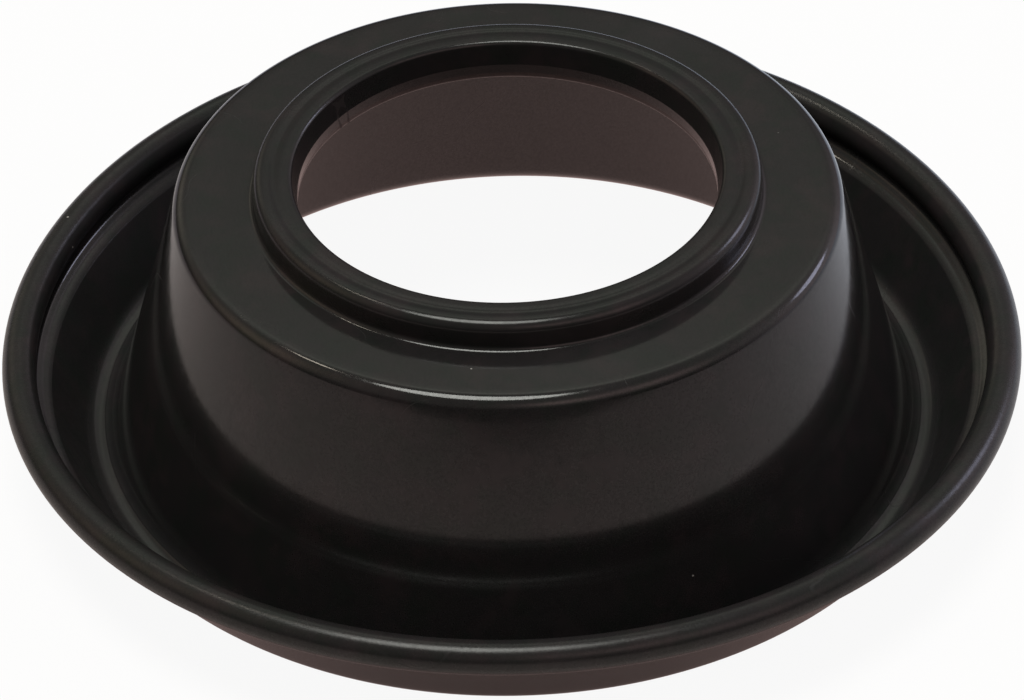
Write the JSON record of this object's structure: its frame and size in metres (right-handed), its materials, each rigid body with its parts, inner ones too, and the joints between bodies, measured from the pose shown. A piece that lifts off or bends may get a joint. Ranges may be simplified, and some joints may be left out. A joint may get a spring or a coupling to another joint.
{
  "type": "carburettor slide diaphragm",
  "caption": "Moulded black rubber diaphragm for a vacuum carburettor slide: round sealing bead, rolling channel, cone, flat top and a raised collar round the bore.",
  "frame": {"origin": "on the axis of the bore, at the height of the bottom of the rolling channel, on which the part stands", "axes": "+Z along the axis, from the bottom of the channel towards the collar; the part is round, so +X and +Y are free"},
  "size_m": [0.066, 0.066, 0.0203],
  "materials": {
    "black_rubber": "smooth satin moulded rubber with soft gloss on its rounded edges"
  },
  "bodies": {
    "root": {"diaphragm": "black_rubber"}
  },
  "joints": []
}
